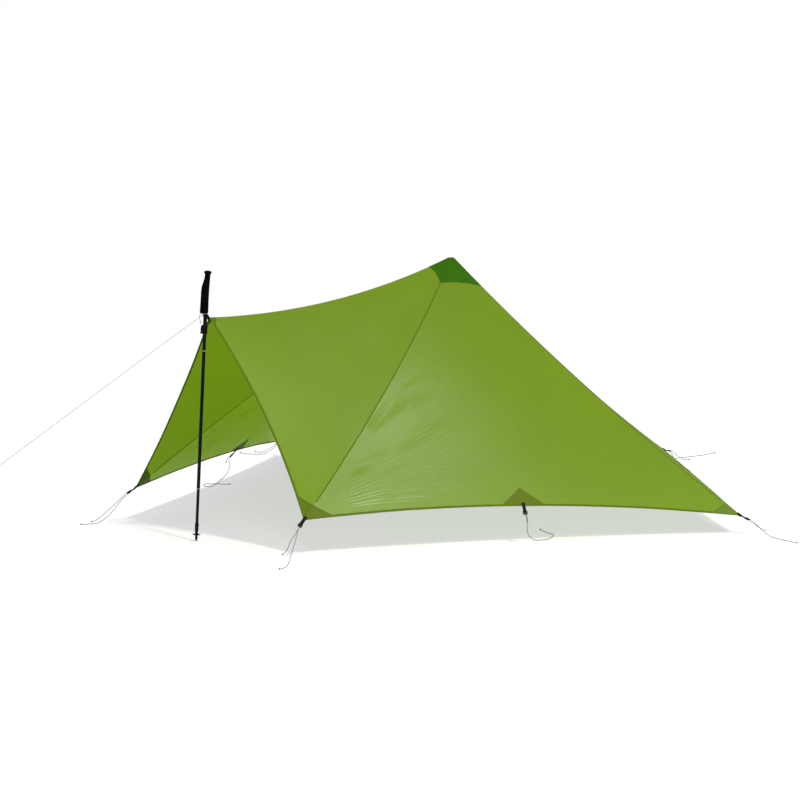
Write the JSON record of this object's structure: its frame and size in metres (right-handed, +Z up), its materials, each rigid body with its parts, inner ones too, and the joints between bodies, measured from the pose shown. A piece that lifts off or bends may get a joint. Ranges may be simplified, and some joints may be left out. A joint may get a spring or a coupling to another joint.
{
  "type": "trekking pole tent",
  "caption": "Five-sided floorless shelter of thin cloth, pitched on two adjustable trekking poles, with webbing tabs, line-locks and cords at its tie-outs.",
  "frame": {"origin": "the tip of the centre pole, on the ground under the peak", "axes": "+Z up, -X towards the door and its pole, +Y to the left of someone outside who faces the door"},
  "size_m": [4.9291, 3.8179, 1.2475],
  "materials": {
    "green_cloth": "satin",
    "dark_green_cloth": "satin",
    "black_webbing": "matte",
    "black_plastic": "satin",
    "black_foam": "matte",
    "black_aluminium": "satin",
    "bright_steel": "satin",
    "pale_green_cord": "matte",
    "pale_guyline": "matte"
  },
  "bodies": {
    "shelter": {"front_panel": "green_cloth", "right_panel": "green_cloth", "rear_right_panel": "green_cloth", "rear_left_panel": "green_cloth", "left_panel": "green_cloth", "peak_cap": "dark_green_cloth", "door_patch": "dark_green_cloth", "front_left_patch": "dark_green_cloth", "front_right_patch": "dark_green_cloth", "side_right_patch": "dark_green_cloth", "rear_patch": "dark_green_cloth", "side_left_patch": "dark_green_cloth", "front_left_tab": "black_webbing", "front_right_tab": "black_webbing", "side_right_tab": "black_webbing", "rear_tab": "black_webbing", "side_left_tab": "black_webbing", "right_edge_tab": "black_webbing", "rear_right_edge_tab": "black_webbing", "rear_left_edge_tab": "black_webbing", "left_edge_tab": "black_webbing", "pole_loop": "black_webbing", "front_left_line_lock": "black_plastic", "front_right_line_lock": "black_plastic", "side_right_line_lock": "black_plastic", "rear_line_lock": "black_plastic", "side_left_line_lock": "black_plastic", "right_edge_line_lock": "black_plastic", "rear_right_edge_line_lock": "black_plastic", "rear_left_edge_line_lock": "black_plastic", "left_edge_line_lock": "black_plastic", "front_left_cord": "pale_green_cord", "front_right_cord": "pale_green_cord", "side_right_cord": "pale_green_cord", "rear_cord": "pale_green_cord", "side_left_cord": "pale_green_cord", "right_edge_cord": "pale_green_cord", "left_edge_cord": "pale_green_cord", "front_guyline": "pale_guyline", "front_pole_grip": "black_foam", "front_pole_upper_tube": "black_aluminium", "front_pole_clamp": "black_plastic", "front_pole_lever_pin": "bright_steel", "centre_pole_grip": "black_foam", "centre_pole_upper_tube": "black_aluminium", "centre_pole_clamp": "black_plastic", "centre_pole_lever_pin": "bright_steel"},
    "front_pole_lever_arm": {"front_pole_lever": "black_plastic"},
    "front_pole_middle_section": {"front_pole_middle_tube": "black_aluminium"},
    "front_pole_lock": {"front_pole_lock_plug": "black_plastic"},
    "front_pole_lower_section": {"front_pole_lower_tube": "black_aluminium", "front_pole_tip": "black_plastic", "front_pole_basket": "black_plastic"},
    "centre_pole_lever_arm": {"centre_pole_lever": "black_plastic"},
    "centre_pole_middle_section": {"centre_pole_middle_tube": "black_aluminium"},
    "centre_pole_lock": {"centre_pole_lock_plug": "black_plastic"},
    "centre_pole_lower_section": {"centre_pole_lower_tube": "black_aluminium", "centre_pole_tip": "black_plastic", "centre_pole_basket": "black_plastic"}
  },
  "joints": [
    {"name": "front_pole_lever_hinge", "type": "hinge", "parent": "shelter", "child": "front_pole_lever_arm", "pos_m": [-1.62093, 0, 0.96374], "axis": [0, -1, 0], "range_deg": [0, 120]},
    {"name": "front_pole_upper_slide", "type": "slide", "parent": "shelter", "child": "front_pole_middle_section", "axis": [0.0651, 0, 0.9979], "range_m": [0, 0.178]},
    {"name": "front_pole_lower_slide", "type": "slide", "parent": "front_pole_middle_section", "child": "front_pole_lock", "axis": [0.0651, 0, 0.9979], "range_m": [0, 0.155]},
    {"name": "front_pole_lock_twist", "type": "hinge", "parent": "front_pole_lock", "child": "front_pole_lower_section", "pos_m": [-1.6454, 0, 0.31947], "axis": [0.0651, 0, 0.9979], "range_deg": [0, 360]},
    {"name": "centre_pole_lever_hinge", "type": "hinge", "parent": "shelter", "child": "centre_pole_lever_arm", "pos_m": [-0.02117, 0, 0.92512], "axis": [0, -1, 0], "range_deg": [0, 120]},
    {"name": "centre_pole_upper_slide", "type": "slide", "parent": "shelter", "child": "centre_pole_middle_section", "axis": [-0.004, 0, 1], "range_m": [0, 0.158]},
    {"name": "centre_pole_lower_slide", "type": "slide", "parent": "centre_pole_middle_section", "child": "centre_pole_lock", "axis": [-0.004, 0, 1], "range_m": [0, 0.135]},
    {"name": "centre_pole_lock_twist", "type": "hinge", "parent": "centre_pole_lock", "child": "centre_pole_lower_section", "pos_m": [-0.00127, 0, 0.32], "axis": [-0.004, 0, 1], "range_deg": [0, 360]}
  ]
}
